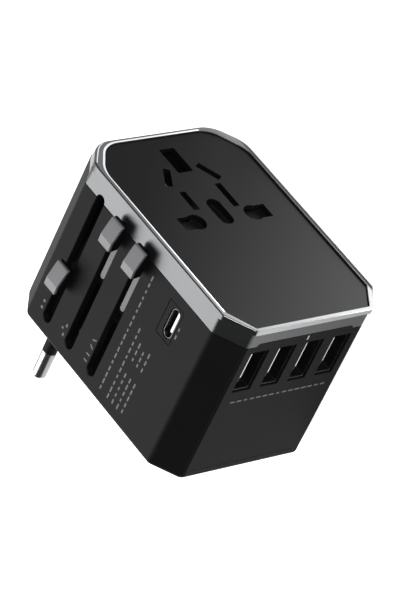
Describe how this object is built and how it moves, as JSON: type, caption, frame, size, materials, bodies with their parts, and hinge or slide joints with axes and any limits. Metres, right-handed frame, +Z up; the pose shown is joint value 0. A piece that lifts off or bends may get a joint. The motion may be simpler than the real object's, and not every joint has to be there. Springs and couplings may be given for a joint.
{
  "type": "universal travel adapter",
  "caption": "Box-shaped plug adapter with a universal socket, sliding plug pins for several countries, a row of USB charging ports and a side charging port.",
  "frame": {"origin": "centre of the plain long side, which the adapter rests on", "axes": "+X towards the earth end of the socket, +Y towards the pin face, +Z up towards the side with the sliders"},
  "size_m": [0.0718, 0.0773, 0.0549],
  "materials": {
    "black_shell": "fine matt moulded texture",
    "gloss_panel": "high gloss",
    "graphite_paint": "satin metallic paint",
    "cap_grey": "satin",
    "dark_plastic": "plain moulded",
    "nickel_plate": "bright nickel plate",
    "brass": "drawn",
    "steel": "bright zinc",
    "board_green": "solder mask",
    "coil_tape": "wound tape over ferrite",
    "capacitor_sleeve": "shrink sleeve",
    "fuse_ceramic": "glazed ceramic",
    "light_pipe": "clear moulded"
  },
  "bodies": {
    "body": {"main_shell": "black_shell", "rear_cover": "black_shell", "bezel_frame": "graphite_paint", "socket_panel": "gloss_panel", "contact_carrier": "dark_plastic", "line_contact": "brass", "neutral_contact": "brass", "earth_contact": "brass", "cover_screw_1": "steel", "cover_screw_2": "steel", "cover_screw_3": "steel", "cover_screw_4": "steel", "usb_panel": "gloss_panel", "status_light_pipe": "light_pipe", "usb_a_shell_1": "nickel_plate", "usb_a_shell_2": "nickel_plate", "usb_a_shell_3": "nickel_plate", "usb_a_shell_4": "nickel_plate", "usb_a_tongue_1": "dark_plastic", "usb_a_tongue_2": "dark_plastic", "usb_a_tongue_3": "dark_plastic", "usb_a_tongue_4": "dark_plastic", "usb_c_insert": "black_shell", "usb_c_shell": "nickel_plate", "usb_c_tongue": "dark_plastic", "main_board": "board_green", "usb_c_board": "board_green", "transformer": "coil_tape", "capacitor_1": "capacitor_sleeve", "capacitor_2": "capacitor_sleeve", "fuse": "fuse_ceramic"},
    "shutter": {"safety_shutter": "dark_plastic"},
    "eu_slider": {"eu_carriage": "black_shell", "eu_pin_left": "nickel_plate", "eu_pin_right": "nickel_plate", "eu_sleeve_left": "dark_plastic", "eu_sleeve_right": "dark_plastic"},
    "uk_slider": {"uk_carriage": "black_shell", "uk_earth_pin": "brass", "uk_neutral_pin": "brass", "uk_line_pin": "brass", "uk_latch_tongue": "cap_grey"},
    "us_slider": {"us_carriage": "black_shell", "us_latch_tongue": "cap_grey"},
    "us_left_prong": {"us_turret_left": "black_shell", "us_blade_left": "nickel_plate"},
    "us_right_prong": {"us_turret_right": "black_shell", "us_blade_right": "nickel_plate"},
    "eu_button": {"eu_knob": "black_shell", "eu_knob_cap": "cap_grey", "eu_knob_spring": "steel"},
    "uk_button": {"uk_knob": "black_shell", "uk_knob_cap": "cap_grey", "uk_knob_spring": "steel"},
    "us_button": {"us_knob": "black_shell", "us_knob_cap": "cap_grey", "us_knob_spring": "steel"}
  },
  "joints": [
    {"name": "shutter_slide", "type": "slide", "parent": "body", "child": "shutter", "axis": [-1, 0, 0], "range_m": [0, 0.0064], "stiffness_N_per_m": 60},
    {"name": "eu_slide", "type": "slide", "parent": "body", "child": "eu_slider", "axis": [0, 1, 0], "range_m": [-0.0255, 0.0115]},
    {"name": "uk_slide", "type": "slide", "parent": "body", "child": "uk_slider", "axis": [0, 1, 0], "range_m": [0, 0.023]},
    {"name": "us_slide", "type": "slide", "parent": "body", "child": "us_slider", "axis": [0, 1, 0], "range_m": [0, 0.021]},
    {"name": "us_left_twist", "type": "hinge", "parent": "us_slider", "child": "us_left_prong", "pos_m": [-0.014, 0.0009, 0.03175], "axis": [0, 1, 0], "range_deg": [0, 30]},
    {"name": "us_right_twist", "type": "hinge", "parent": "us_slider", "child": "us_right_prong", "pos_m": [-0.014, 0.0009, 0.01905], "axis": [0, 1, 0], "range_deg": [-30, 0]},
    {"name": "eu_press", "type": "slide", "parent": "eu_slider", "child": "eu_button", "axis": [0, 0, -1], "range_m": [0, 0.0007], "stiffness_N_per_m": 400, "deforming": ["eu_knob_spring"]},
    {"name": "uk_press", "type": "slide", "parent": "uk_slider", "child": "uk_button", "axis": [0, 0, -1], "range_m": [0, 0.0007], "stiffness_N_per_m": 400, "deforming": ["uk_knob_spring"]},
    {"name": "us_press", "type": "slide", "parent": "us_slider", "child": "us_button", "axis": [0, 0, -1], "range_m": [0, 0.0007], "stiffness_N_per_m": 400, "deforming": ["us_knob_spring"]}
  ]
}
